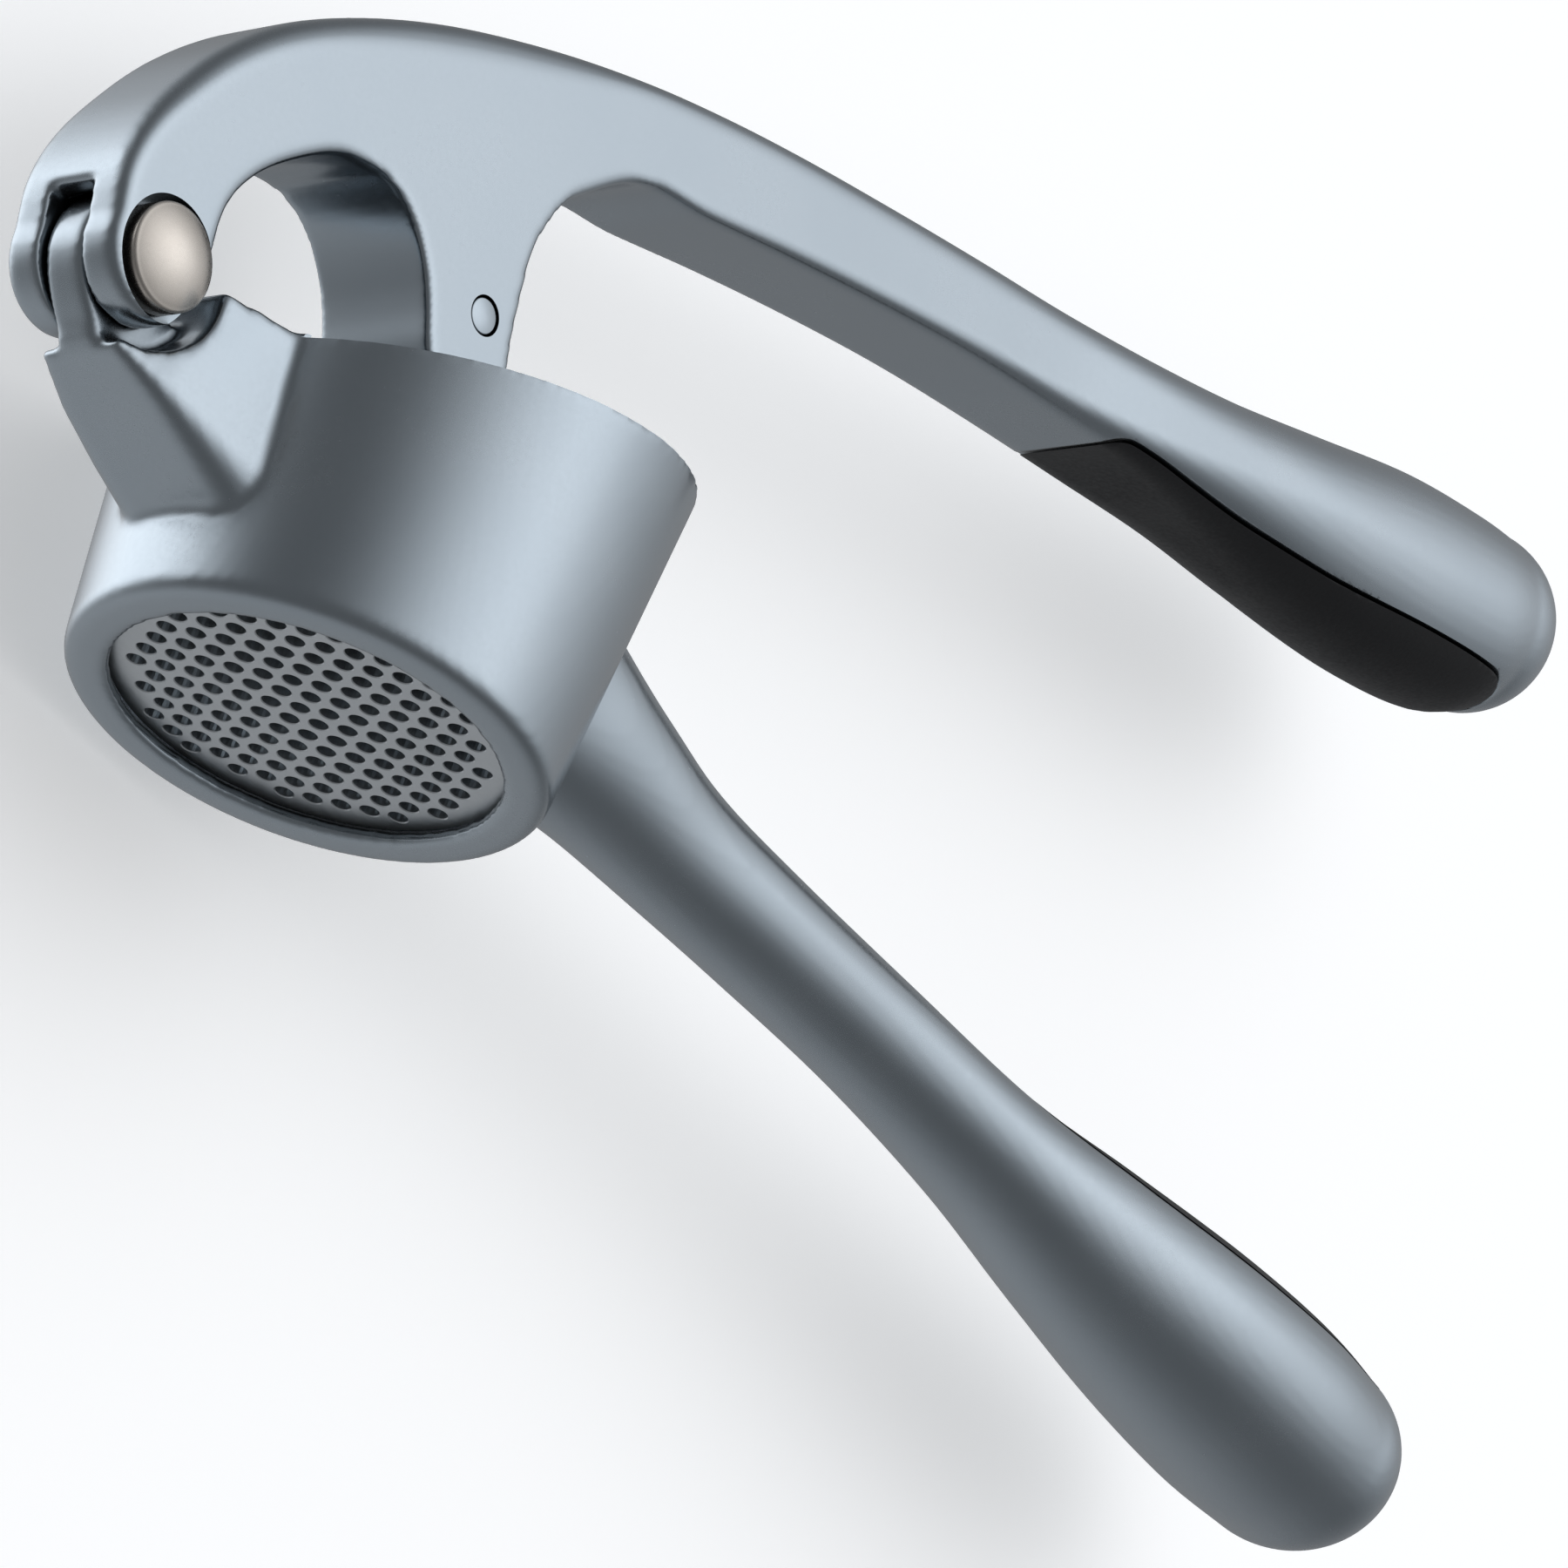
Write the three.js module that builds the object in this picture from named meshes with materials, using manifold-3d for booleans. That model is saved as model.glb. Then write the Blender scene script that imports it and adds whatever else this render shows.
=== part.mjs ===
// Garlic press, lying on its side: +X from the hinge to the handle ends, +Y out of the cup, +Z along the hinge pin.
// Millimetres. Everything is drawn about the hinge axis and moved to the row origin at the end.
import * as THREE from "three";
import { mergeVertices } from "three/addons/utils/BufferGeometryUtils.js";
import Module from "manifold-3d";

const wasm = await Module();
wasm.setup();

// ---- driving dimensions ------------------------------------------------------------------------
const TOP_TILT = 0.24; // slope of the cup's rim, rising towards the handles
const CUP = { x: 31.06, bottom: -17.49, rimY: 6.74, rBottom: 17.87, rRim: 20.0, edge: 1.0 };
const BORE = { floor: -16.5, rFloor: 15.2, rRim: 17.5, hole: 14.4 };
const SIEVE = { r: 14.9, bottom: -16.2, thick: 0.9, hole: 0.95, pitch: 3.3, rows: 4 };
const HALF = 5.2; // half thickness of the arch, fork and lug
const HINGE = { shaft: 2.1, hole: 2.18, head: 3.82, bore: 4.4, boreFloor: 3.7, edge: 5.85, dome: 6.75 };
const KNUCKLE = { r: 4.85, half: 1.7, slotHalf: 2.05, slotR: 5.3, slotTop: 2.9 };
const CRADLE_R = 6.15; // hollow in the bracket in which the fork turns
const PIN = { x: 28.5, y: 15.6, r: 1.35, hole: 1.43, half: 5.1 };
const CLOSED = -18.5 * Math.PI / 180; // hinge angle with the plunger on the sieve
const SWING = -0.25; // plunger turn per hinge turn
const PLATE = { r: 14.3, thick: 3.0, y: -15.0, edge: 0.5 };
const TONGUE = { half: 2.2, r: 2.9, slotHalf: 2.5 };
const GAP = 0.3;

// ---- geometry helpers ---------------------------------------------------------------------------
function solid(geometry) {
  const g = geometry.clone();
  g.deleteAttribute("normal");
  g.deleteAttribute("uv");
  const merged = mergeVertices(g, 1e-4);
  const position = merged.attributes.position;
  const index = Array.from(merged.index.array);
  const corner = (k) => new THREE.Vector3().fromBufferAttribute(position, index[k]);
  let volume = 0;
  for (let k = 0; k < index.length; k += 3) {
    volume += corner(k).dot(corner(k + 1).cross(corner(k + 2)));
  }
  return new wasm.Manifold(new wasm.Mesh({
    numProp: 3,
    vertProperties: position.array,
    triVerts: new Uint32Array(volume < 0 ? index.reverse() : index),
  }));
}

function toGeometry(manifold) {
  const mesh = manifold.getMesh();
  const g = new THREE.BufferGeometry();
  g.setAttribute("position", new THREE.BufferAttribute(new Float32Array(mesh.vertProperties), 3));
  g.setIndex(new THREE.BufferAttribute(new Uint32Array(mesh.triVerts), 1));
  g.computeVertexNormals();
  return g;
}

function union(...parts) {
  return parts.reduce((a, b) => a.add(b));
}

// Smooth curve through points.
function curve(points) {
  return new THREE.SplineCurve(points.map(([x, y]) => new THREE.Vector2(x, y)));
}

// Prism of an outline in the XY plane, from z = -half to z = +half, edges rounded by `round`.
function prism(points, half, round = 0) {
  const shape = new THREE.Shape(points.map(([x, y]) => new THREE.Vector2(x, y)));
  const g = new THREE.ExtrudeGeometry(shape, {
    depth: 2 * (half - round),
    bevelEnabled: round > 0,
    bevelSize: round,
    bevelOffset: -round,
    bevelThickness: round,
    bevelSegments: 2,
  });
  g.translate(0, 0, -(half - round));
  return solid(g);
}

function cylinderZ(radius, half, x = 0, y = 0, segments = 40) {
  const g = new THREE.CylinderGeometry(radius, radius, 2 * half, segments);
  g.rotateX(Math.PI / 2);
  g.translate(x, y, 0);
  return solid(g);
}

function boxAt(x0, x1, y0, y1, z0, z1) {
  const g = new THREE.BoxGeometry(x1 - x0, y1 - y0, z1 - z0);
  g.translate((x0 + x1) / 2, (y0 + y1) / 2, (z0 + z1) / 2);
  return solid(g);
}

function disc(x, y, r, count) {
  return Array.from({ length: count }, (_, k) => {
    const a = k / count * 2 * Math.PI;
    return [x + r * Math.cos(a), y + r * Math.sin(a)];
  });
}

// Solid of revolution about the line x = cx parallel to Y; profile as [radius, y] pairs from axis to axis.
function turned(profile, cx, segments = 56) {
  const g = new THREE.LatheGeometry(profile.map(([r, y]) => new THREE.Vector2(r, y)), segments);
  g.translate(cx, 0, 0);
  return solid(g);
}

// Body skinned over cross sections. A section stands between an outer point O and an inner point I and
// is a rectangle of half width w with elliptic corners; `to` and `ti` are the corner sizes (1 = ellipse).
function skin(sections, cornerSteps = 4) {
  const rings = sections.map((s) => {
    const ring = [];
    const mid = new THREE.Vector2((s.O[0] + s.I[0]) / 2, (s.O[1] + s.I[1]) / 2);
    const up = new THREE.Vector2(s.O[0] - mid.x, s.O[1] - mid.y);
    const corners = [[1, 1, s.to], [-1, 1, s.to], [-1, -1, s.ti], [1, -1, s.ti]];
    corners.forEach(([sz, sy, e], quadrant) => {
      for (let k = 0; k <= cornerSteps; k += 1) {
        const a = (quadrant + k / cornerSteps) * Math.PI / 2;
        const z = s.w * (sz * (1 - e) + e * Math.cos(a));
        const v = sy * (1 - e) + e * Math.sin(a);
        ring.push([mid.x + up.x * v, mid.y + up.y * v, z]);
      }
    });
    return ring;
  });
  const n = rings[0].length;
  const position = rings.flat(2);
  const index = [];
  const quad = (a, b, c, d) => index.push(a, b, c, a, c, d);
  for (let i = 0; i + 1 < rings.length; i += 1) {
    for (let k = 0; k < n; k += 1) {
      const l = (k + 1) % n;
      quad(i * n + k, i * n + l, (i + 1) * n + l, (i + 1) * n + k);
    }
  }
  for (const [i, flip] of [[0, true], [rings.length - 1, false]]) {
    const centre = position.length / 3;
    const c = rings[i].reduce((a, p) => [a[0] + p[0] / n, a[1] + p[1] / n, a[2] + p[2] / n], [0, 0, 0]);
    position.push(...c);
    for (let k = 0; k < n; k += 1) {
      const l = (k + 1) % n;
      index.push(...(flip ? [centre, i * n + l, i * n + k] : [centre, i * n + k, i * n + l]));
    }
  }
  const g = new THREE.BufferGeometry();
  g.setAttribute("position", new THREE.BufferAttribute(new Float32Array(position), 3));
  g.setIndex(index);
  return solid(g);
}

// Stations as [Ox, Oy, Ix, Iy, w, to, ti], splined and resampled `per` times between stations.
function splined(stations, per) {
  const channel = (k) => curve(stations.map((s, i) => [i, s[k]]));
  const channels = [0, 1, 2, 3, 4, 5, 6].map(channel);
  const count = (stations.length - 1) * per;
  const out = [];
  for (let i = 0; i <= count; i += 1) {
    const [Ox, Oy, Ix, Iy, w, to, ti] = channels.map((c) => c.getPoint(i / count).y);
    out.push({ O: [Ox, Oy], I: [Ix, Iy], w, to: Math.min(to, 1), ti: Math.min(ti, 1) });
  }
  return out;
}

// Rounded end of an arm: shrinks the last section along an ellipse of the given length.
function capped(sections, length, steps) {
  const last = sections[sections.length - 1];
  const mid = [(last.O[0] + last.I[0]) / 2, (last.O[1] + last.I[1]) / 2];
  const up = [(last.O[0] - last.I[0]) / 2, (last.O[1] - last.I[1]) / 2];
  const norm = Math.hypot(...up);
  const along = [up[1] / norm, -up[0] / norm];
  for (let k = 1; k <= steps; k += 1) {
    const a = (k / steps) * Math.PI / 2 * 0.97;
    const f = Math.cos(a);
    const d = length * Math.sin(a);
    const c = [mid[0] + along[0] * d, mid[1] + along[1] * d];
    sections.push({
      O: [c[0] + up[0] * f, c[1] + up[1] * f],
      I: [c[0] - up[0] * f, c[1] - up[1] * f],
      w: last.w * f,
      to: 1,
      ti: 1,
    });
  }
  return sections;
}

function centred(rows) {
  return rows.map(([x, y, angle, h, w, to, ti]) => {
    const a = angle * Math.PI / 180;
    return [x - h * Math.sin(a), y + h * Math.cos(a), x + h * Math.sin(a), y - h * Math.cos(a), w, to, ti];
  });
}

// ---- upper handle ---------------------------------------------------------------------------------
// Arm from the arch to the bulb: x, y of the centre line, its direction, half depth, half width, corners.
const UPPER_ARM = [
  [54.8, 44.7, 17.5, 4.4, 5.2, 0.5, 0.2],
  [66, 48.2, 16.5, 4.3, 5.2, 0.56, 0.22],
  [77, 51.4, 16, 4.3, 5.3, 0.65, 0.25],
  [88.7, 54.4, 14.5, 4.5, 5.6, 0.75, 0.35],
  [100.3, 57.5, 14, 5.0, 6.4, 0.9, 0.5],
  [112, 60.5, 14.5, 6.1, 7.1, 1, 0.8],
  [124, 63.45, 15.5, 7.8, 7.9, 1, 1],
  [136.5, 67.0, 17.5, 9.1, 8.4, 1, 1],
  [146.4, 69.9, 19, 9.0, 8.5, 1, 1],
  [151.0, 71.75, 20, 8.15, 8.0, 1, 1],
];
const ARCH = [
  [-5.3, 0, 4.25, 0, HALF, 0.2, 0.12],
  [-6.1, 3.6, 3.4, 4.6, HALF, 0.24, 0.12],
  [-5.7, 7.4, 3.5, 7.6, HALF, 0.3, 0.12],
  [-4.2, 11.6, 4.9, 10.7, HALF, 0.38, 0.12],
  [-1.2, 17.2, 7.6, 14.0, HALF, 0.42, 0.12],
  [3.2, 22.7, 11.0, 16.9, HALF, 0.46, 0.12],
  [9.5, 28.1, 15.2, 18.4, HALF, 0.46, 0.12],
  [17.5, 33.5, 22.5, 21.5, HALF, 0.46, 0.12],
  [27, 38.6, 31, 27.5, HALF, 0.46, 0.12],
  [35.5, 42.4, 38.2, 34.5, HALF, 0.46, 0.14],
  [44, 45.7, 46.2, 37.1, HALF, 0.47, 0.14],
];
const LUG = [
  [13.0, 19.5], [13.2, 18.0], [14.8, 18.2], [16.5, 18.15], [18.4, 17.6], [20.3, 16.4], [22.0, 14.7], [23.3, 12.7],
  [24.5, 10.4],
  [25.5, 9.3], [27.0, 8.9], [31.5, 9.3], [32.7, 10.2], [32.9, 11.5],
  [32.4, 13.9], [31.7, 16.6], [31.1, 20.2], [30.8, 23.0], [31.2, 25.6], [32.0, 28.0], [33.4, 30.3],
  [35.3, 32.5], [37.6, 34.3], [40.5, 36.0], [41.0, 39.0], [30.0, 36.0], [18.0, 26.0],
];

// A closed outline moved by `gap` to the left of its direction.
function inset(points, gap) {
  return points.map((here, k) => {
    const before = points[(k + points.length - 1) % points.length];
    const after = points[(k + 1) % points.length];
    const a = Math.hypot(here[0] - before[0], here[1] - before[1]);
    const b = Math.hypot(after[0] - here[0], after[1] - here[1]);
    const n1 = [-(here[1] - before[1]) / a, (here[0] - before[0]) / a];
    const n2 = [-(after[1] - here[1]) / b, (after[0] - here[0]) / b];
    const sum = [n1[0] + n2[0], n1[1] + n2[1]];
    const size = Math.hypot(sum[0], sum[1]);
    const stretch = Math.max((sum[0] * n1[0] + sum[1] * n1[1]) / size, 0.5);
    return [here[0] + sum[0] / size / stretch * gap, here[1] + sum[1] / size / stretch * gap];
  });
}

const upperSections = capped(splined([...ARCH, ...centred(UPPER_ARM)], 2), 8.3, 5);
const upperBody = union(skin(upperSections), prism(LUG, HALF, 0.5), prism(disc(-0.5, 0, 4.8, 40), HALF, 0.5));

// The insert's seam, drawn anticlockwise so that its solid lies on the left of the line.
const UPPER_SEAM = [
  [94.4, 46.5], [95.0, 50.4], [96.6, 52.3], [100.0, 53.3], [107.0, 54.7], [116.0, 56.5], [127.0, 58.9],
  [139.4, 62.3], [147.0, 64.3], [151.0, 65.1], [153.6, 64.6], [154.8, 62.0], [155.0, 57.0],
];
const upperSeam = curve(UPPER_SEAM).getPoints(36).map((p) => [p.x, p.y]);
const upperRegion = [[94.2, 40], [155.0, 40], ...upperSeam.reverse()];
const upperPocket = prism(upperRegion, 16);
const upperInsert = prism(inset(upperRegion, GAP), 15.5);

const forkSlot = union(
  cylinderZ(KNUCKLE.slotR, KNUCKLE.slotHalf),
  boxAt(-12, 0, -9, KNUCKLE.slotTop, -KNUCKLE.slotHalf, KNUCKLE.slotHalf),
  boxAt(-0.1, 7, -9, 0, -KNUCKLE.slotHalf, KNUCKLE.slotHalf),
);
const lugSlot = union(
  cylinderZ(3.6, TONGUE.slotHalf, PIN.x, PIN.y),
  boxAt(25.1, 37, 7, PIN.y, -TONGUE.slotHalf, TONGUE.slotHalf),
  boxAt(PIN.x, 37, PIN.y - 1, PIN.y + 3.6, -TONGUE.slotHalf, TONGUE.slotHalf),
);
const headBores = [1, -1].map((side) => {
  const depth = HALF + 2 - HINGE.boreFloor;
  const g = new THREE.CylinderGeometry(HINGE.bore, HINGE.bore, depth, 44);
  g.rotateX(Math.PI / 2);
  g.translate(0, 0, side * (HINGE.boreFloor + depth / 2));
  return solid(g);
});
let upper = upperBody
  .subtract(upperPocket)
  .subtract(forkSlot)
  .subtract(lugSlot)
  .subtract(cylinderZ(HINGE.hole, 8))
  .subtract(cylinderZ(PIN.hole, 8, PIN.x, PIN.y, 28));
headBores.forEach((bore) => {
  upper = upper.subtract(bore);
});
const upperGrip = upperBody.intersect(upperInsert);

// ---- lower handle -----------------------------------------------------------------------------------
const LOWER_ARM = [
  [46, -0.4, 0, 9.6, 7.2, 0.85, 0.85],
  [50, -1.4, 0, 8.3, 6.6, 0.9, 0.9],
  [55, -1.9, 0, 7.2, 6.2, 0.95, 0.95],
  [61, -2.4, 0, 6.3, 5.7, 1, 1],
  [69, -3.1, 0, 5.4, 5.1, 1, 1],
  [80, -3.2, 0, 5.0, 5.05, 1, 1],
  [96, -3.2, 0, 4.9, 5.2, 1, 1],
  [112, -3.7, 0, 5.3, 6.0, 1, 1],
  [126, -3.9, 0, 6.9, 7.5, 1, 1],
  [140, -4.0, 0, 8.2, 9.1, 1, 1],
  [152, -4.1, 0, 8.7, 9.7, 1, 1],
  [160, -4.2, 0, 8.3, 9.2, 1, 1],
];
const lowerArm = skin(capped(splined(centred(LOWER_ARM), 2), 8.8, 6));

const slope = Math.tan(TOP_TILT);
const rimAt = (x) => CUP.rimY + (x - CUP.x) * slope;
const grow = (CUP.rRim - CUP.rBottom) / (CUP.rimY - CUP.bottom);
const highY = 14;
const cupOuter = turned([
  [0, CUP.bottom],
  [CUP.rBottom - CUP.edge, CUP.bottom],
  [CUP.rBottom - CUP.edge * 0.3, CUP.bottom + CUP.edge * 0.3],
  [CUP.rBottom + grow * CUP.edge, CUP.bottom + CUP.edge],
  [CUP.rRim + grow * (highY - CUP.rimY), highY],
  [0, highY],
], CUP.x);
const boreGrow = (BORE.rRim - BORE.rFloor) / (CUP.rimY - BORE.floor);
const cupBore = turned([
  [0, CUP.bottom - 2],
  [BORE.hole, CUP.bottom - 2],
  [BORE.hole, BORE.floor],
  [BORE.rFloor, BORE.floor],
  [BORE.rRim + boreGrow * (highY + 2 - CUP.rimY), highY + 2],
  [0, highY + 2],
], CUP.x);
// Everything above the slanted rim, over the cup only.
const aboveRim = prism([
  [CUP.x - 24, rimAt(CUP.x - 24)], [CUP.x + 24, rimAt(CUP.x + 24)], [CUP.x + 24, 30], [CUP.x - 24, 30],
], 24);

// Wedge bracket: narrow at the front, flaring into the cup wall, its lower edges rounder towards the cup.
const WEDGE = [
  { O: [-0.1, -7.0], I: [0.9, -4.0], w: 3.55, to: 0.2, ti: 0.05 },
  { O: [4.2, -8.5], I: [5.8, 1.6], w: 4.9, to: 0.24, ti: 0.05 },
  { O: [9.0, -10.1], I: [10.0, 2.2], w: 5.75, to: 0.36, ti: 0.05 },
  { O: [12.9, -11.35], I: [13.4, 2.6], w: 6.25, to: 0.44, ti: 0.05 },
  { O: [17.0, -11.35], I: [17.0, 3.0], w: 6.4, to: 0.44, ti: 0.05 },
];
const wedge = skin(WEDGE).subtract(cylinderZ(CRADLE_R, 12));

// Knuckle and its neck, running down to the bracket's front corner.
const knuckle = union(
  cylinderZ(KNUCKLE.r, KNUCKLE.half, 0, 0, 44),
  prism([
    [-4.6, -1.4], [-4.0, -2.8], [-2.8, -4.3], [-1.2, -5.7], [0.3, -6.9],
    [8.5, -6.0], [7.5, -1.5], [4.6, -1.2], [3.5, 0], [-4, 0],
  ], KNUCKLE.half),
);

const cup = union(cupOuter.subtract(aboveRim), wedge, lowerArm.subtract(aboveRim)).subtract(cupBore);
const LOWER_SEAM = [
  [108.6, 6.0], [109.2, 2.4], [111.5, 0.6], [116.0, 0.2], [126.0, 0.4], [140.0, 0.9], [152.0, 1.2], [159.0, 1.2],
  [162.6, 2.1], [163.8, 4.6], [164.0, 9.0],
];
const lowerSeam = curve(LOWER_SEAM).getPoints(36).map((p) => [p.x, p.y]);
const lowerRegion = [...lowerSeam, [164, 20], [108.4, 20]];
const lowerPocket = prism(lowerRegion, 16);
const lowerInsert = prism(inset(lowerRegion, GAP), 15.5);
const lower = union(cup, knuckle).subtract(lowerPocket).subtract(cylinderZ(HINGE.hole, 8));
const lowerGrip = lowerArm.intersect(lowerInsert);

// ---- sieve, pins, plunger ------------------------------------------------------------------------------
let sieve = turned([
  [0, SIEVE.bottom], [SIEVE.r, SIEVE.bottom], [SIEVE.r, SIEVE.bottom + SIEVE.thick], [0, SIEVE.bottom + SIEVE.thick],
], CUP.x, 48);
for (let q = -SIEVE.rows; q <= SIEVE.rows; q += 1) {
  for (let p = -SIEVE.rows; p <= SIEVE.rows; p += 1) {
    if (Math.abs(p + q) <= SIEVE.rows) {
      const g = new THREE.CylinderGeometry(SIEVE.hole, SIEVE.hole, 4, 6);
      g.translate(CUP.x + SIEVE.pitch * (p + q / 2), SIEVE.bottom, SIEVE.pitch * q * Math.sqrt(3) / 2);
      sieve = sieve.subtract(solid(g));
    }
  }
}

function pinProfile(head) {
  const right = [
    [HINGE.shaft, 0], [HINGE.shaft, head.seat], [head.r, head.seat], [head.r, head.edge],
    [head.r * 0.9, head.edge + head.rise * 0.45], [head.r * 0.62, head.edge + head.rise * 0.8], [0, head.edge + head.rise],
  ];
  const left = right.slice(1).map(([r, y]) => [r, -y]).reverse();
  return [...left, ...right.slice(1)];
}
const hingePin = new THREE.LatheGeometry(
  pinProfile({ r: HINGE.head, seat: HINGE.boreFloor + 0.1, edge: HINGE.edge, rise: HINGE.dome - HINGE.edge })
    .map(([r, y]) => new THREE.Vector2(r, y)),
  40,
);
hingePin.rotateX(Math.PI / 2);
const plungerPin = cylinderZ(PIN.r, PIN.half, PIN.x, PIN.y, 28);

// The plunger is drawn with the press closed, plate flat on the sieve, then swung back to the rest pose.
const closedPin = new THREE.Vector2(PIN.x, PIN.y).rotateAround(new THREE.Vector2(), CLOSED);
const plate = turned([
  [0, PLATE.y], [PLATE.r - PLATE.edge, PLATE.y], [PLATE.r, PLATE.y + PLATE.edge],
  [PLATE.r, PLATE.y + PLATE.thick - 0.8], [PLATE.r - 1.2, PLATE.y + PLATE.thick],
  [6.6, PLATE.y + PLATE.thick + 0.2], [5.0, PLATE.y + PLATE.thick + 1.4], [4.1, PLATE.y + PLATE.thick + 4],
  [3.7, PLATE.y + PLATE.thick + 8.6], [3.0, PLATE.y + PLATE.thick + 9.3], [0, PLATE.y + PLATE.thick + 9.3],
], CUP.x, 44);
const tongue = union(
  cylinderZ(TONGUE.r, TONGUE.half, closedPin.x, closedPin.y, 32),
  prism([
    [closedPin.x - TONGUE.r, closedPin.y], [CUP.x - 2.6, PLATE.y + 6], [CUP.x + 2.6, PLATE.y + 6],
    [closedPin.x + TONGUE.r, closedPin.y],
  ], TONGUE.half),
);
const plunger = union(plate, tongue).subtract(cylinderZ(PIN.hole, 6, closedPin.x, closedPin.y, 28));
const plungerGeometry = toGeometry(plunger);
plungerGeometry.translate(-closedPin.x, -closedPin.y, 0);
plungerGeometry.rotateZ(-(1 + SWING) * CLOSED);
plungerGeometry.translate(PIN.x, PIN.y, 0);

// ---- assembly ---------------------------------------------------------------------------------------------
const finish = {
  cast_zinc: { color: 0x8e9aa3, roughness: 0.34, metalness: 0.85 },
  pin_nickel: { color: 0xd8d0c6, roughness: 0.3, metalness: 0.9 },
  sieve_steel: { color: 0xb4b8bb, roughness: 0.35, metalness: 0.9 },
  soft_grip: { color: 0x15161a, roughness: 0.6, metalness: 0.0 },
};
const pieces = [
  ["lower_handle", toGeometry(lower), "cast_zinc"],
  ["upper_handle", toGeometry(upper), "cast_zinc"],
  ["plunger", plungerGeometry, "cast_zinc"],
  ["hinge_pin", toGeometry(solid(hingePin)), "pin_nickel"],
  ["plunger_pin", toGeometry(plungerPin), "cast_zinc"],
  ["sieve", toGeometry(sieve), "sieve_steel"],
  ["upper_grip", toGeometry(upperGrip), "soft_grip"],
  ["lower_grip", toGeometry(lowerGrip), "soft_grip"],
];
const group = new THREE.Group();
group.name = "garlic_press";
for (const [name, geometry, slot] of pieces) {
  const mesh = new THREE.Mesh(geometry, new THREE.MeshStandardMaterial(finish[slot]));
  mesh.name = name;
  mesh.material.name = slot;
  group.add(mesh);
}
const bounds = new THREE.Box3().setFromObject(group);
for (const mesh of group.children) {
  mesh.geometry.translate(-(bounds.min.x + bounds.max.x) / 2, -(bounds.min.y + bounds.max.y) / 2, -bounds.min.z);
}

export default group;
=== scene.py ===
"""Garlic press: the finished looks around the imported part, one class for each sub-assembly.

The press lies on its side. Sizes are millimetres about the hinge axis, with +X towards the handle
ends, +Y out of the cup's mouth and +Z along the hinge pin; `place` turns them into the part's metres.
"""

import logging
import math
from dataclasses import dataclass
from enum import Enum
from typing import Callable, Sequence

import bmesh
import bpy
from mathutils import Matrix, Vector


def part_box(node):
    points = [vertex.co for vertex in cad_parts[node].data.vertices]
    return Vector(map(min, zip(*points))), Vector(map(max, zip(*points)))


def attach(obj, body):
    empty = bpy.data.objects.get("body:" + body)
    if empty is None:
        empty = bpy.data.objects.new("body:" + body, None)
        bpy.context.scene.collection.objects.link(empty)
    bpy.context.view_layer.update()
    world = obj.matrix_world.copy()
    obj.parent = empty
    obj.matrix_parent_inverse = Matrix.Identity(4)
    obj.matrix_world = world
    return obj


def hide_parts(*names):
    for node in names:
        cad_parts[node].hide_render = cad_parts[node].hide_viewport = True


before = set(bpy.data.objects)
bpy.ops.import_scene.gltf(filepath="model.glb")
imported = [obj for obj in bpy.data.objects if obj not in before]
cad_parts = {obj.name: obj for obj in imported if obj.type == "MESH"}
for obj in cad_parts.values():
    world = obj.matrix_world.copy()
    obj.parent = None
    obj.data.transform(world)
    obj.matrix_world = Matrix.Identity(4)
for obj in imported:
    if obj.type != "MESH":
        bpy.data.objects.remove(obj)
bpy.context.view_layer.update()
LOG = logging.getLogger("garlic_press")

MM = 0.001
Point = tuple[float, float]
Profile = Sequence[Point]
# Edges sharper than this stay crisp in the shading, and those sharper than the second are bevelled.
CRISP_ANGLE = math.radians(52)
BEVEL_ANGLE = math.radians(42)


def hinge_centre() -> Vector:
    """Returns the middle of the hinge pin, the point all sizes are drawn about."""
    low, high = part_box("hinge_pin")
    return (low + high) / 2


HINGE = hinge_centre()


def place(x: float, y: float, z: float = 0.0) -> Vector:
    """Turns millimetres about the hinge into the part's frame.

    Args:
        x, y, z: a point in millimetres.

    Returns:
        The same point in metres, in the part's frame.
    """
    return HINGE + Vector((x, y, z)) * MM


class Body(Enum):
    """The three bodies that move against each other."""

    LOWER = "lower"
    UPPER = "upper"
    PLUNGER = "plunger"


class Cut(Enum):
    """What a tool solid does to the solid that it meets."""

    ADD = "UNION"
    REMOVE = "DIFFERENCE"
    KEEP = "INTERSECT"


# ---- finishes --------------------------------------------------------------------------------


def linear(hex_colour: str) -> tuple[float, float, float, float]:
    """Turns an sRGB hex colour into linear RGBA.

    Args:
        hex_colour: six hex digits, such as "8e9aa3".

    Returns:
        Linear red, green, blue and an alpha of one.
    """
    channels = [int(hex_colour[i:i + 2], 16) / 255 for i in (0, 2, 4)]
    r, g, b = (c / 12.92 if c <= 0.04045 else ((c + 0.055) / 1.055) ** 2.4 for c in channels)
    return r, g, b, 1.0


def add_node(tree: bpy.types.NodeTree, kind: str, inputs: dict | None = None, **settings: object) -> bpy.types.Node:
    """Adds a node with its settings, values and links.

    Args:
        tree: the tree that the node goes into.
        kind: the node's type.
        inputs: values or output sockets, by the input's name or index.
        settings: the node's own properties.

    Returns:
        The new node.
    """
    node = tree.nodes.new(kind)
    for name, value in settings.items():
        setattr(node, name, value)
    for key, value in (inputs or {}).items():
        if isinstance(value, bpy.types.NodeSocket):
            tree.links.new(value, node.inputs[key])
        else:
            node.inputs[key].default_value = value
    return node


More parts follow.
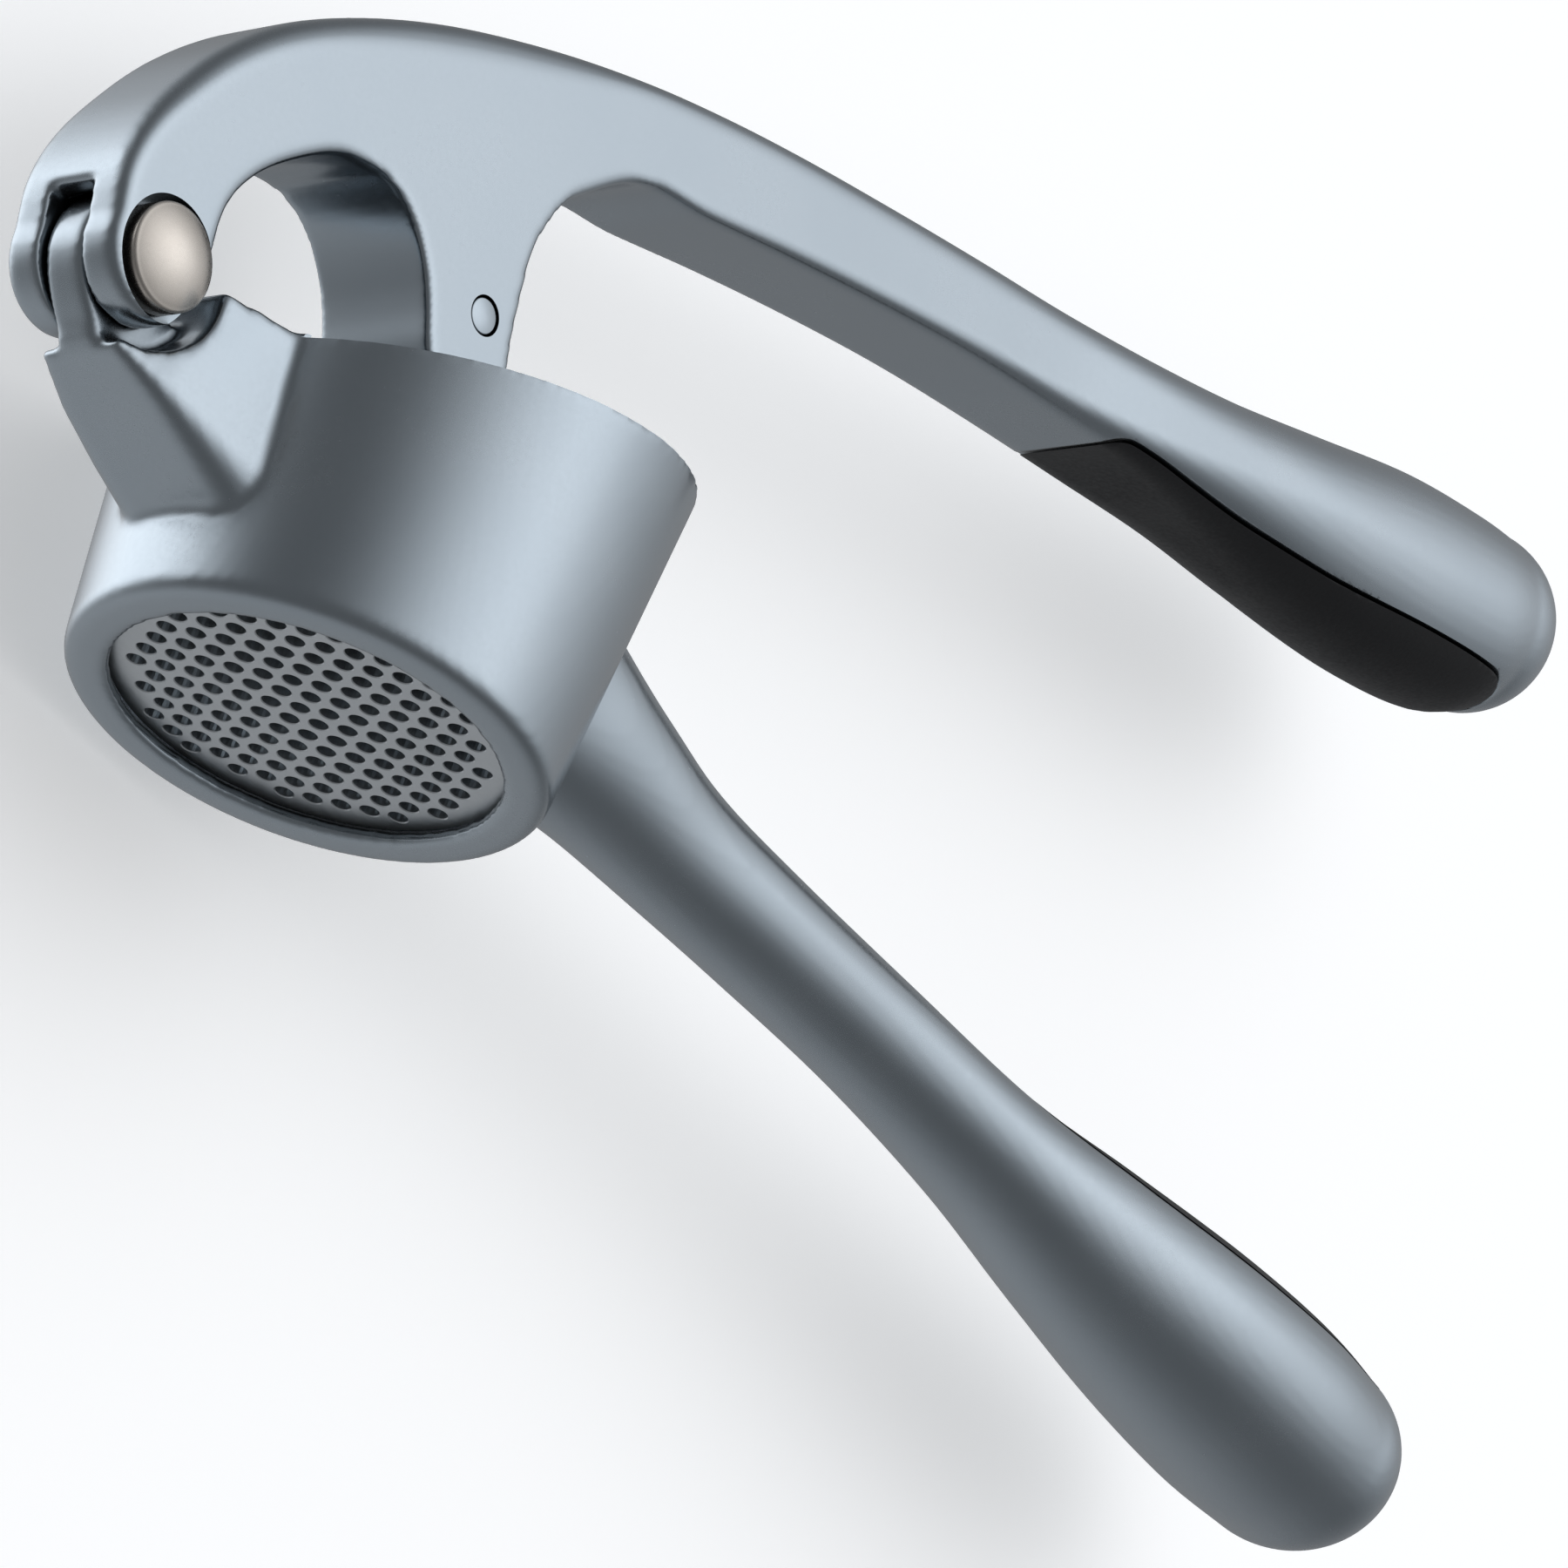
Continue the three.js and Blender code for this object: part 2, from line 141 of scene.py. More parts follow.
@dataclass(frozen=True)
class Finish:
    """A surface whose colour, gloss and fine relief all vary a little, as on a real part."""

    name: str
    slot: str
    light: str
    dark: str
    metallic: float
    gloss: tuple[float, float]
    cloud_mm: float
    grain_mm: float
    relief_mm: float
    stretch: tuple[float, float, float] = (1.0, 1.0, 1.0)
    specular: float = 0.5
    # How dark the painted shade in recesses gets, and how far the occlusion looks for them.
    recess_shade: float = 1.0
    recess_shade_mm: float = 2.6

    def material(self) -> bpy.types.Material:
        """Builds the finish the first time it is asked for.

        Returns:
            The finish's material.
        """
        found = bpy.data.materials.get(self.name)
        if found:
            return found
        made = bpy.data.materials.new(self.name)
        made.use_nodes = True
        tree = made.node_tree
        shader = tree.nodes["Principled BSDF"]
        shader.inputs["Metallic"].default_value = self.metallic
        shader.inputs["Specular IOR Level"].default_value = self.specular
        place_node = add_node(tree, "ShaderNodeTexCoord").outputs["Object"]
        turned = add_node(tree, "ShaderNodeMapping", {"Vector": place_node, "Scale": self.stretch}).outputs["Vector"]
        cloud = add_node(
            tree, "ShaderNodeTexNoise",
            {"Vector": place_node, "Scale": 1 / (self.cloud_mm * MM), "Detail": 4.0, "Roughness": 0.55},
        ).outputs["Fac"]
        grain = add_node(
            tree, "ShaderNodeTexNoise",
            {"Vector": turned, "Scale": 1 / (self.grain_mm * MM), "Detail": 2.0, "Roughness": 0.6},
        ).outputs["Fac"]
        # Inputs 6 and 7 and output 2 are the Mix node's colours; the others are its numbers and vectors.
        tinted = add_node(
            tree, "ShaderNodeMix", {0: cloud, 6: linear(self.dark), 7: linear(self.light)}, data_type="RGBA",
        ).outputs[2]
        # Painted shade: ambient occlusion darkens the base colour in gaps and inner corners.
        if self.recess_shade < 1:
            tinted = self._painted_recess_shade(tree, tinted)
        tree.links.new(tinted, shader.inputs["Base Color"])
        mixed = add_node(tree, "ShaderNodeMath", {0: cloud, 1: grain}, operation="MULTIPLY").outputs[0]
        rough = add_node(
            tree, "ShaderNodeMapRange",
            {"Value": mixed, "From Min": 0.12, "From Max": 0.42,
             "To Min": self.gloss[0], "To Max": self.gloss[1]},
        ).outputs["Result"]
        tree.links.new(rough, shader.inputs["Roughness"])
        bump = add_node(
            tree, "ShaderNodeBump",
            {"Height": grain, "Distance": self.relief_mm * MM, "Strength": 1.0},
        ).outputs["Normal"]
        tree.links.new(bump, shader.inputs["Normal"])
        return made

    def _painted_recess_shade(self, tree: bpy.types.NodeTree, colour: bpy.types.NodeSocket) -> bpy.types.NodeSocket:
        """Paints shade into narrow gaps and inner corners: the colour darkens where ambient occlusion finds the
        surface enclosed.

        Args:
            tree: the finish's node tree.
            colour: the colour so far.

        Returns:
            The colour with painted shade in its recesses.
        """
        open_sky = add_node(
            tree, "ShaderNodeAmbientOcclusion", {"Distance": self.recess_shade_mm * MM}, samples=12).outputs["AO"]
        shade_scale = add_node(
            tree, "ShaderNodeMapRange",
            {"Value": open_sky, "From Min": 0.1, "From Max": 0.62, "To Min": self.recess_shade, "To Max": 1.0},
        ).outputs["Result"]
        shaded = add_node(tree, "ShaderNodeVectorMath", {0: colour}, operation="SCALE")
        tree.links.new(shade_scale, shaded.inputs["Scale"])
        return shaded.outputs[0]


# Die-cast zinc alloy, bead-blasted fine and coated in a satin blue-grey: soft, slightly clouded reflections.
# Its recesses get painted shade, down to 0.12 of the colour, round the rivet, the slots and the cradle.
CAST_ZINC = Finish(
    "satin_coated_zinc_casting", "cast_zinc", "9aa2a8", "8f989f", 0.97, (0.21, 0.28), 14.0, 0.4, 0.0014, recess_shade=0.12)
# Nickel-plated rivet head, tumbled to a warm satin.
PIN_NICKEL = Finish(
    "tumbled_nickel_rivet", "pin_nickel", "bcb6af", "aaa39b", 0.97, (0.24, 0.32), 3.0, 0.3, 0.0014)
# Stainless sheet, rolled and brushed one way, so its grain is drawn out along X.
SIEVE_STEEL = Finish(
    "brushed_stainless_sheet", "sieve_steel", "c2c6c9", "a6abae", 0.95, (0.28, 0.42), 8.0, 0.3, 0.003,
    stretch=(0.15, 1.0, 1.0))
# Moulded thermoplastic rubber with a spark-eroded texture; its grain is drawn coarse enough to show.
SOFT_GRIP = Finish(
    "moulded_black_rubber", "soft_grip", "101114", "090a0c", 0.0, (0.46, 0.6), 10.0, 0.4, 0.012, specular=0.3)


# ---- mesh tools ------------------------------------------------------------------------------


def new_object(name: str, mesh: bpy.types.Mesh) -> bpy.types.Object:
    """Links a mesh into the scene as an object at the origin.

    Args:
        name: the object's name.
        mesh: its mesh, already in the part's frame.

    Returns:
        The new object.
    """
    made = bpy.data.objects.new(name, mesh)
    bpy.context.scene.collection.objects.link(made)
    return made


def solid(verts: Sequence[Vector], faces: Sequence[Sequence[int]], name: str = "tool") -> bpy.types.Object:
    """Makes a closed mesh with doubles merged and faces pointing out.

    Args:
        verts: points in metres.
        faces: loops of indices.
        name: the object's name.

    Returns:
        The new object.
    """
    mesh = bpy.data.meshes.new(name)
    mesh.from_pydata([tuple(v) for v in verts], [], [tuple(f) for f in faces])
    work = bmesh.new()
    work.from_mesh(mesh)
    bmesh.ops.remove_doubles(work, verts=work.verts, dist=1e-7)
    bmesh.ops.recalc_face_normals(work, faces=work.faces)
    work.to_mesh(mesh)
    work.free()
    return new_object(name, mesh)


def settle(obj: bpy.types.Object) -> bpy.types.Object:
    """Turns an object's live modifiers into its mesh.

    Args:
        obj: the object.

    Returns:
        The same object with a plain mesh and no modifiers.
    """
    depsgraph = bpy.context.evaluated_depsgraph_get()
    mesh = bpy.data.meshes.new_from_object(obj.evaluated_get(depsgraph))
    obj.modifiers.clear()
    obj.data = mesh
    return obj


def combine(target: bpy.types.Object, tool: bpy.types.Object, cut: Cut, keep_tool: bool = False) -> bpy.types.Object:
    """Joins, cuts or limits one solid with another.

    Args:
        target: the solid that changes.
        tool: the solid that it meets.
        cut: what happens where they meet.
        keep_tool: leaves the tool in the scene for another use.

    Returns:
        The changed target.
    """
    step = target.modifiers.new("cut", "BOOLEAN")
    step.operation = cut.value
    step.solver = "MANIFOLD"
    step.object = tool
    settle(target)
    if not keep_tool:
        bpy.data.objects.remove(tool)
    return target


def combine_all(target: bpy.types.Object, tools: Sequence[bpy.types.Object], cut: Cut) -> bpy.types.Object:
    """Combines several tools with one solid.

    Args:
        target: the solid that changes.
        tools: the solids that it meets, in order.
        cut: what happens where they meet.

    Returns:
        The changed target.
    """
    for tool in tools:
        combine(target, tool, cut)
    return target


def copy_of(obj: bpy.types.Object, name: str) -> bpy.types.Object:
    """Returns a copy of an object with a mesh of its own."""
    return new_object(name, obj.data.copy())


def as_casting(obj: bpy.types.Object, voxel_mm: float, rounds: int) -> bpy.types.Object:
    """Gives a sharp solid the even skin and softened edges of a casting.

    Args:
        obj: the solid.
        voxel_mm: the size of its new faces.
        rounds: how often its edges are relaxed.

    Returns:
        The same object.
    """
    skin_step = obj.modifiers.new("skin", "REMESH")
    skin_step.mode = "VOXEL"
    skin_step.voxel_size = voxel_mm * MM
    relax = obj.modifiers.new("relax", "SMOOTH")
    relax.factor = 0.5
    relax.iterations = rounds
    return settle(obj)


def prism(outline: Profile, half: float, middle: float = 0.0) -> bpy.types.Object:
    """Makes a straight solid from an outline in the XY plane.

    Args:
        outline: corners in millimetres.
        half: half its thickness along Z.
        middle: the height of its middle.

    Returns:
        The new object.
    """
    n = len(outline)
    verts = [place(x, y, middle + s * half) for s in (-1, 1) for x, y in outline]
    sides = [(k, (k + 1) % n, n + (k + 1) % n, n + k) for k in range(n)]
    return solid(verts, [tuple(range(n))[::-1], tuple(range(n, 2 * n)), *sides])


def block(x: Point, y: Point, half: float) -> bpy.types.Object:
    """Makes a box across the middle plane from its X and Y ranges."""
    return prism([(x[0], y[0]), (x[1], y[0]), (x[1], y[1]), (x[0], y[1])], half)


def revolve(profile: Profile, spin: Callable[[float, float, float], Vector], steps: int = 128) -> bpy.types.Object:
    """Turns a profile about an axis; it starts and ends on the axis.

    Args:
        profile: (radius, height) pairs in millimetres.
        spin: gives the place of a point from its two cross coordinates and its height.
        steps: how many faces go round.

    Returns:
        The new object.
    """
    verts: list[Vector] = []
    rings: list[list[int]] = []
    for radius, height in profile:
        count = 1 if radius < 1e-6 else steps
        start = len(verts)
        for k in range(count):
            a = 2 * math.pi * k / steps
            verts.append(spin(radius * math.cos(a), radius * math.sin(a), height))
        rings.append(list(range(start, start + count)))
    faces = []
    for lower, upper in zip(rings, rings[1:]):
        for k in range(steps):
            a, b = lower[k % len(lower)], lower[(k + 1) % len(lower)]
            c, d = upper[(k + 1) % len(upper)], upper[k % len(upper)]
            corners = list(dict.fromkeys((a, b, c, d)))
            if len(corners) > 2:
                faces.append(tuple(corners))
    return solid(verts, faces)


def about_z(x: float = 0.0, y: float = 0.0) -> Callable[[float, float, float], Vector]:
    """Returns a spin about a line parallel to the hinge pin."""
    return lambda u, v, height: place(x + u, y + v, height)


def about_y(x: float) -> Callable[[float, float, float], Vector]:
    """Returns a spin about a line parallel to the cup's axis."""
    return lambda u, v, height: place(x + u, height, v)


def peg(radius: float, half: float, x: float = 0.0, y: float = 0.0) -> bpy.types.Object:
    """Makes a round bar along Z, centred on the middle plane."""
    return revolve([(0, -half), (radius, -half), (radius, half), (0, half)], about_z(x, y), 96)


def rounded_bar(radius: float, half: float, edge: float) -> list[Point]:
    """Draws the profile of a round bar with rounded rims.

    Args:
        radius: the bar's radius.
        half: half its length.
        edge: the radius of its rims.

    Returns:
        (radius, height) pairs from one end of the axis to the other.
    """
    turns = [k / 6 * math.pi / 2 for k in range(7)]
    rim = [(radius - edge + edge * math.cos(a), half - edge + edge * math.sin(a)) for a in turns]
    return [(0, -half), *[(r, -z) for r, z in reversed(rim)], *rim, (0, half)]


def spline(points: Sequence[Sequence[float]], per: int) -> list[list[float]]:
    """Runs a smooth line through points of any dimension.

    Args:
        points: the points to pass through.
        per: how many steps go between two of them.

    Returns:
        The points of the smooth line, ends included.
    """
    out = []
    last = len(points) - 1
    for i in range(last):
        a, b, c, d = (points[min(max(j, 0), last)] for j in (i - 1, i, i + 1, i + 2))
        for k in range(per):
            t = k / per
            out.append([
                0.5 * (2 * q + (r - p) * t + (2 * p - 5 * q + 4 * r - s) * t * t + (3 * q - p - 3 * r + s) * t ** 3)
                for p, q, r, s in zip(a, b, c, d)
            ])
    out.append(list(points[last]))
    return out


@dataclass
class Section:
    """A cross section between an outer and an inner point, with elliptic corners."""

    outer: Vector
    inner: Vector
    half_width: float
    outer_corner: float
    inner_corner: float

    def ring(self, corner_steps: int) -> list[Vector]:
        """Sets out the section's points.

        Args:
            corner_steps: faces round each corner.

        Returns:
            The points in order, in the part's frame.
        """
        middle = (self.outer + self.inner) / 2
        up = self.outer - middle
        points = []
        corners = ((1, 1, self.outer_corner), (-1, 1, self.outer_corner),
                   (-1, -1, self.inner_corner), (1, -1, self.inner_corner))
        for quadrant, (side, rise, size) in enumerate(corners):
            for k in range(corner_steps + 1):
                a = (quadrant + k / corner_steps) * math.pi / 2
                across = self.half_width * (side * (1 - size) + size * math.cos(a))
                along = rise * (1 - size) + size * math.sin(a)
                points.append(place(middle.x + up.x * along, middle.y + up.y * along, across))
        return points


Station = tuple[float, float, float, float, float, float, float]


def sections(stations: Sequence[Station], per: int) -> list[Section]:
    """Turns stations into smooth sections.

    Args:
        stations: rows of outer x and y, inner x and y, half width, outer and inner corner.
        per: how many sections go from one station to the next.

    Returns:
        The sections.
    """
    return [
        Section(Vector(s[0:2]), Vector(s[2:4]), s[4], min(s[5], 1.0), min(s[6], 1.0))
        for s in spline(stations, per)
    ]


def on_centre_line(rows: Sequence[Station]) -> list[Station]:
    """Turns rows along a centre line into stations.

    Args:
        rows: rows of x, y, angle in degrees, half depth, half width, outer and inner corner.

    Returns:
        The stations.
    """
    out = []
    for x, y, angle, depth, width, outer, inner in rows:
        a = math.radians(angle)
        dx, dy = depth * math.sin(a), depth * math.cos(a)
        out.append((x - dx, y + dy, x + dx, y - dy, width, outer, inner))
    return out


def rounded_end(run: list[Section], length: float, steps: int = 14) -> list[Section]:
    """Closes a run of sections with an elliptic end.

    Args:
        run: the sections so far.
        length: how far the end reaches beyond the last one.
        steps: how many sections the end has.

    Returns:
        The run with its end.
    """
    last = run[-1]
    middle = (last.outer + last.inner) / 2
    up = last.outer - middle
    ahead = Vector((up.y, -up.x)).normalized()
    for k in range(1, steps + 1):
        a = k / steps * math.pi / 2 * 0.985
        centre = middle + ahead * length * math.sin(a)
        shrink = math.cos(a)
        run.append(Section(centre + up * shrink, centre - up * shrink, last.half_width * shrink, 1.0, 1.0))
    return run


def skin(run: Sequence[Section], name: str = "skin", corner_steps: int = 12) -> bpy.types.Object:
    """Stretches a closed skin over a run of sections.

    Args:
        run: the sections, from one end to the other.
        name: the object's name.
        corner_steps: faces round each corner.

    Returns:
        The new object.
    """
    rings = [s.ring(corner_steps) for s in run]
    n = len(rings[0])
    verts = [p for ring in rings for p in ring]
    faces = [
        (i * n + k, i * n + (k + 1) % n, (i + 1) * n + (k + 1) % n, (i + 1) * n + k)
        for i in range(len(rings) - 1) for k in range(n)
    ]
    for i in (0, len(rings) - 1):
        middle = len(verts)
        verts.append(sum(rings[i], Vector()) / n)
        faces += [(middle, i * n + k, i * n + (k + 1) % n) for k in range(n)]
    return solid(verts, faces, name)


def shrunk(outline: Profile, gap: float) -> list[Point]:
    """Moves a closed outline's sides inwards.

    Args:
        outline: its corners in millimetres.
        gap: how far the sides move; a negative gap suits an outline drawn the other way round.

    Returns:
        The moved corners.
    """
    out = []
    n = len(outline)
    for k in range(n):
        before, here, after = (Vector(outline[(k + j) % n]) for j in (-1, 0, 1))
        a, b = (here - before).normalized(), (after - here).normalized()
        normal = Vector((a.y + b.y, -a.x - b.x)).normalized()
        stretch = max(abs(normal.dot(Vector((a.y, -a.x)))), 0.5)
        out.append(tuple(here + normal * gap / stretch))
    return out


def soft_edges(obj: bpy.types.Object, width_mm: float) -> bpy.types.Object:
    """Rounds a solid's sharp edges a little.

    Args:
        obj: the solid.
        width_mm: the width of the rounding.

    Returns:
        The same object.
    """
    step = obj.modifiers.new("edges", "BEVEL")
    step.width = width_mm * MM
    step.segments = 2
    step.limit_method = "ANGLE"
    step.angle_limit = BEVEL_ANGLE
    return settle(obj)


def hand_over(obj: bpy.types.Object, name: str, finish: Finish, body: Body, node: str) -> bpy.types.Object:
    """Dresses a finished piece and ties it to the part.

    Args:
        obj: the piece.
        name: its final name.
        finish: its surface.
        body: the body that it moves with.
        node: the CAD node that it stands for.

    Returns:
        The piece.
    """
    obj.name = name
    obj.data.name = name
    obj.data.materials.clear()
    obj.data.materials.append(finish.material())
    obj.data.shade_smooth()
    obj.data.set_sharp_from_angle(angle=CRISP_ANGLE)
    # On the pierced flat sheet, weighted normals would draw streaks between the holes.
    if finish is not SIEVE_STEEL:
        even = obj.modifiers.new("even_normals", "WEIGHTED_NORMAL")
        even.keep_sharp = True
        settle(obj)
    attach(obj, body.value)
    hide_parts(node)
    obj.data.calc_loop_triangles()
    LOG.info("%s: %d triangles, rides on %s", name, len(obj.data.loop_triangles), body.value)
    return obj


# ---- shared measures -------------------------------------------------------------------------


@dataclass(frozen=True)
class Hinge:
    """The rivet, the fork's counterbores and the knuckle that turns between the cheeks."""

    shaft: float = 2.1
    hole: float = 2.2
    head: float = 3.82
    bore: float = 4.4
    bore_floor: float = 3.7
    dome: float = 6.75
    knuckle: float = 4.85
    knuckle_half: float = 1.85
    slot_half: float = 2.05
    slot_radius: float = 5.3
    slot_top: float = 2.9
    cradle: float = 6.15


@dataclass(frozen=True)
class Pivot:
    """The pin on which the plunger swings in the upper handle's lug."""

    x: float = 28.5
    y: float = 15.6
    radius: float = 1.35
    hole: float = 1.52
    half: float = 5.12


HINGE_SIZES = Hinge()
PIVOT = Pivot()
BODY_HALF = 5.2
CUP_X = 31.06
SEAM_GAP = 0.3
GRIP_EDGE = 0.22


# ---- sub-assemblies --------------------------------------------------------------------------


@dataclass
class UpperHandle:
    """Fork, arch, plunger lug and upper arm in one casting, with a soft insert on its inner side."""

    arch: tuple[Station, ...] = (
        (-5.3, 0, 4.25, 0, BODY_HALF, 0.2, 0.12),
        (-6.1, 3.6, 3.4, 4.6, BODY_HALF, 0.24, 0.12),
        (-5.7, 7.4, 3.5, 7.6, BODY_HALF, 0.3, 0.12),
        (-4.2, 11.6, 4.9, 10.7, BODY_HALF, 0.38, 0.12),
        (-1.2, 17.2, 7.6, 14.0, BODY_HALF, 0.42, 0.12),
        (3.2, 22.7, 11.0, 16.9, BODY_HALF, 0.46, 0.12),
        (9.5, 28.1, 15.2, 18.4, BODY_HALF, 0.46, 0.12),
        (17.5, 33.5, 22.5, 21.5, BODY_HALF, 0.46, 0.12),
        (27, 38.6, 31, 27.5, BODY_HALF, 0.46, 0.12),
        (35.5, 42.4, 38.2, 34.5, BODY_HALF, 0.46, 0.14),
        (44, 45.7, 46.2, 37.1, BODY_HALF, 0.47, 0.14),
    )
    arm: tuple[Station, ...] = (
        (54.8, 44.7, 17.5, 4.4, 5.2, 0.5, 0.2),
        (66, 48.2, 16.5, 4.3, 5.2, 0.56, 0.22),
        (77, 51.4, 16, 4.3, 5.3, 0.65, 0.25),
        (88.7, 54.4, 14.5, 4.5, 5.6, 0.75, 0.35),
        (100.3, 57.5, 14, 5.0, 6.4, 0.9, 0.5),
        (112, 60.5, 14.5, 6.1, 7.1, 1, 0.8),
        (124, 63.45, 15.5, 7.8, 7.9, 1, 1),
        (136.5, 67.0, 17.5, 9.1, 8.4, 1, 1),
        (146.4, 69.9, 19, 9.0, 8.5, 1, 1),
        (151.0, 71.75, 20, 8.15, 8.0, 1, 1),
    )
    lug: tuple[Point, ...] = (
        (13.0, 19.5), (13.2, 18.0), (14.8, 18.2), (16.5, 18.15), (18.4, 17.6), (20.3, 16.4), (22.0, 14.7),
        (23.3, 12.7), (24.5, 10.4), (25.5, 9.3), (27.0, 8.9), (31.5, 9.3), (32.7, 10.2), (32.9, 11.5),
        (32.4, 13.9), (31.7, 16.6), (31.1, 20.2), (30.8, 23.0), (31.2, 25.6), (32.0, 28.0), (33.4, 30.3),
        (35.3, 32.5), (37.6, 34.3), (40.5, 36.0), (41.0, 39.0), (30.0, 36.0), (18.0, 26.0), (13.0, 19.5),
    )
    tip_length: float = 8.3
    seam: tuple[Point, ...] = (
        (94.4, 46.5), (95.0, 50.4), (96.6, 52.3), (100.0, 53.3), (107.0, 54.7), (116.0, 56.5), (127.0, 58.9),
        (139.4, 62.3), (147.0, 64.3), (151.0, 65.1), (153.6, 64.6), (154.8, 62.0), (155.0, 57.0),
    )
    cheek: float = 4.8
    cheek_edge: float = 0.9
    lug_slot_half: float = 2.5
    lug_slot_radius: float = 3.6
    lug_slot_end: float = 37.0
    voxel: float = 0.325
    relax: int = 7

    def build(self) -> None:
        """Builds and dresses the casting and its insert."""
        body = self._body()
        grip = skin(self._run(), "grip")
        combine(grip, self._insert(SEAM_GAP), Cut.KEEP)
        combine_all(body, self._slots(), Cut.REMOVE)
        as_casting(body, self.voxel, self.relax)
        combine_all(body, [self._insert(0.0), *self._holes()], Cut.REMOVE)
        soft_edges(grip, GRIP_EDGE)
        hand_over(body, "upper_handle_casting", CAST_ZINC, Body.UPPER, "upper_handle")
        hand_over(grip, "upper_handle_grip", SOFT_GRIP, Body.UPPER, "upper_grip")

    def _run(self) -> list[Section]:
        """Returns the sections of the arch and the arm, from the fork to the tip."""
        return rounded_end(sections([*self.arch, *on_centre_line(self.arm)], 8), self.tip_length)

    def _body(self) -> bpy.types.Object:
        """Joins the arched arm, the lug and the fork's round cheeks.

        Returns:
            The casting before its slots and holes.
        """
        body = skin(self._run(), "upper")
        lug = prism([tuple(p) for p in spline(self.lug, 4)][:-1], BODY_HALF)
        cheeks = revolve(rounded_bar(self.cheek, BODY_HALF, self.cheek_edge), about_z(-0.5, 0), 96)
        return combine_all(body, [lug, cheeks], Cut.ADD)

    def _insert(self, gap: float) -> bpy.types.Object:
        """Makes the space of the soft insert: all of the bulb below the seam."""
        line = [(x, y) for x, y in spline(self.seam, 6)]
        return prism(shrunk([*line, (line[-1][0], 40.0), (line[0][0], 40.0)], gap), 16)

    def _slots(self) -> list[bpy.types.Object]:
        """Makes the fork's slot and the lug's slot.

        Returns:
            The cutting tools, three for each slot.
        """
        h = HINGE_SIZES
        return [
            peg(h.slot_radius, h.slot_half),
            block((-12, 0), (-9, h.slot_top), h.slot_half),
            block((-0.1, 7), (-9, 0), h.slot_half),
            peg(self.lug_slot_radius, self.lug_slot_half, PIVOT.x, PIVOT.y),
            block((25.1, self.lug_slot_end), (7, PIVOT.y), self.lug_slot_half),
            block((PIVOT.x, self.lug_slot_end), (PIVOT.y - 1, PIVOT.y + self.lug_slot_radius), self.lug_slot_half),
        ]

    def _holes(self) -> list[bpy.types.Object]:
        """Makes the drilled holes and the counterbores of the rivet's heads.

        Returns:
            The cutting tools.
        """
        h = HINGE_SIZES
        tools = [peg(h.hole, 8), peg(PIVOT.hole, 8, PIVOT.x, PIVOT.y)]
        for side in (-1, 1):
            ends = sorted((side * h.bore_floor, side * 9))
            profile = [(0, ends[0]), (h.bore, ends[0]), (h.bore, ends[1]), (0, ends[1])]
            tools.append(revolve(profile, about_z(), 96))
        return tools


